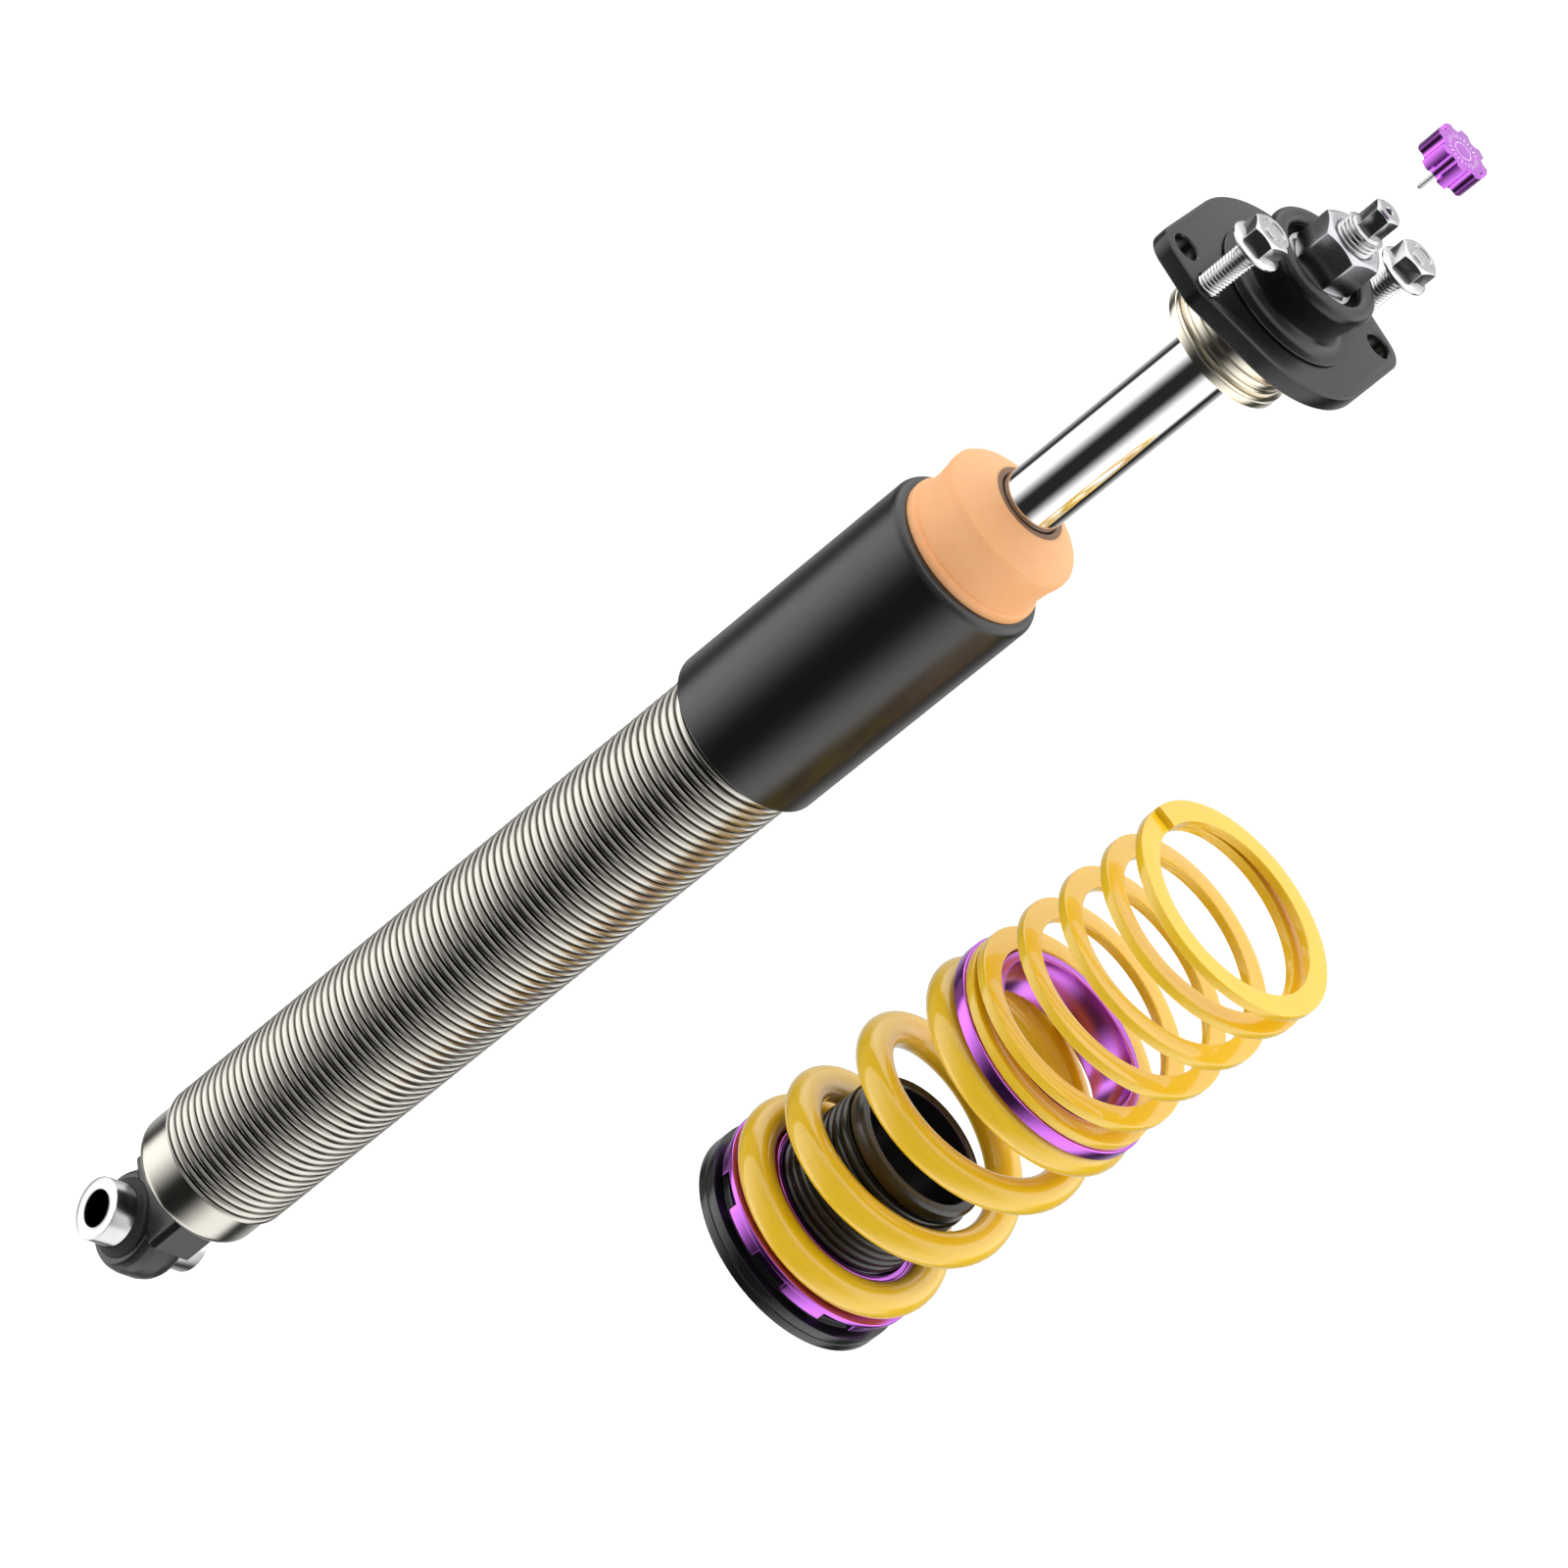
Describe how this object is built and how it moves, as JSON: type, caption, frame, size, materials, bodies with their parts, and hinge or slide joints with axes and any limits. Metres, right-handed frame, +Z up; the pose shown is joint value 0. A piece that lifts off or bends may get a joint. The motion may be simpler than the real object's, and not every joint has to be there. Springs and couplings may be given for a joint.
{
  "type": "coilover",
  "caption": "Rear coilover kit: twin-tube damper with threaded body, cover, bump stop, ball top mount and rebound knob, beside a threaded spring seat unit with main and helper springs.",
  "frame": {"origin": "centre of the lower eye's bore", "axes": "+Z up the damper axis towards the top mount, +Y along the lower eye's bore, spring unit beside the damper towards +X +Y"},
  "size_m": [0.1773, 0.1874, 0.6395],
  "materials": {
    "zinc_steel": "bright zinc plate",
    "plain_steel": "plain machined steel",
    "body_nickel": "satin nickel",
    "hard_chrome": "ground and polished",
    "black_satin": "satin black powder coat",
    "black_forged": "black coated forging",
    "black_anodised": "black anodised, semi-gloss",
    "purple_anodised": "bright purple anodised",
    "champagne_anodised": "champagne anodised, turned",
    "yellow_coat": "gloss yellow powder coat",
    "polyurethane": "soft peach-orange foam",
    "black_rubber": "matt rubber",
    "dark_steel": "satin zinc-nickel over steel",
    "sintered_iron": "sintered, unpolished",
    "bronze": "bearing bronze",
    "brown_plastic": "filled plastic"
  },
  "bodies": {
    "arm_side": {"eye_sleeve": "zinc_steel", "adjuster_sleeve": "black_anodised", "base_ring": "black_anodised"},
    "damper": {"lower_eye": "black_forged", "eye_bush": "black_rubber", "eye_seals": "black_rubber", "body_tube": "body_nickel", "base_dish": "plain_steel", "base_valve": "sintered_iron", "pressure_tube": "plain_steel", "rod_guide": "sintered_iron", "guide_bush": "bronze", "rod_seal": "black_rubber", "gland_nut": "plain_steel", "rod_wiper": "black_rubber"},
    "rod": {"piston_rod": "hard_chrome", "piston": "sintered_iron", "piston_band": "brown_plastic", "rebound_shims": "plain_steel", "compression_shims": "plain_steel", "piston_nut": "plain_steel", "rebound_stop": "black_rubber", "support_cup": "champagne_anodised", "support_ring": "champagne_anodised", "ball_spacer": "zinc_steel", "bearing_ball": "hard_chrome", "top_washer": "zinc_steel", "top_nut": "dark_steel"},
    "cover": {"cover_tube": "black_satin", "bump_stop": "polyurethane", "bump_bush": "brown_plastic"},
    "mount": {"mount_plate": "black_anodised", "bearing_dome": "black_anodised", "bearing_race": "plain_steel", "race_circlip": "dark_steel"},
    "front_bolt": {"front_mount_bolt": "zinc_steel"},
    "rear_bolt": {"rear_mount_bolt": "zinc_steel"},
    "needle": {"adjuster_needle": "plain_steel"},
    "knob": {"rebound_knob": "purple_anodised", "knob_pin": "zinc_steel"},
    "seat": {"spring_seat": "purple_anodised", "main_spring": "yellow_coat"},
    "collar": {"adjuster_collar": "purple_anodised"},
    "plate": {"spring_plate": "purple_anodised"},
    "helper": {"helper_spring": "yellow_coat"}
  },
  "joints": [
    {"name": "eye_swivel", "type": "hinge", "parent": "arm_side", "child": "damper", "pos_m": [0, 0, 0], "axis": [0, 1, 0], "range_deg": [-15, 15]},
    {"name": "rod_travel", "type": "slide", "parent": "damper", "child": "rod", "axis": [0, 0, 1], "range_m": [-0.158, 0], "stiffness_N_per_m": 120, "springref_m": 0.9},
    {"name": "cover_slide", "type": "slide", "parent": "damper", "child": "cover", "axis": [0, 0, 1], "range_m": [-0.0755, 0]},
    {"name": "top_swivel", "type": "hinge", "parent": "rod", "child": "mount", "pos_m": [0, 0, 0.5523], "axis": [0, 1, 0], "range_deg": [-6, 6]},
    {"name": "front_bolt_turned_in", "type": "slide", "parent": "mount", "child": "front_bolt", "axis": [0, 0, 1], "range_m": [-0.0187, 0]},
    {"name": "rear_bolt_turned_in", "type": "slide", "parent": "mount", "child": "rear_bolt", "axis": [0, 0, 1], "range_m": [-0.0187, 0]},
    {"name": "rebound_clicks", "type": "hinge", "parent": "rod", "child": "needle", "pos_m": [0, 0, 0.59], "axis": [0, 0, 1], "range_deg": [0, 1080]},
    {"name": "knob_lift", "type": "slide", "parent": "needle", "child": "knob", "axis": [0, 0, 1], "range_m": [-0.021, 0]},
    {"name": "seat_height", "type": "slide", "parent": "arm_side", "child": "seat", "axis": [0, 0, 1], "range_m": [0, 0.02975]},
    {"name": "collar_turn", "type": "hinge", "parent": "seat", "child": "collar", "pos_m": [0.09855, 0.09517, 0.2125], "axis": [0, 0, 1], "range_deg": [0, 3150]},
    {"name": "spring_travel", "type": "slide", "parent": "seat", "child": "plate", "axis": [0, 0, 1], "range_m": [-0.036, 0], "stiffness_N_per_m": 80000, "deforming": ["main_spring"]},
    {"name": "helper_travel", "type": "slide", "parent": "plate", "child": "helper", "axis": [0, 0, 1], "range_m": [-0.048, 0], "stiffness_N_per_m": 5000, "deforming": ["helper_spring"]}
  ],
  "couplings": [
    {"joint": "cover_slide", "follows": "rod_travel", "ratio": 0.475},
    {"joint": "collar_turn", "follows": "seat_height", "rad_per_m": 1848}
  ]
}
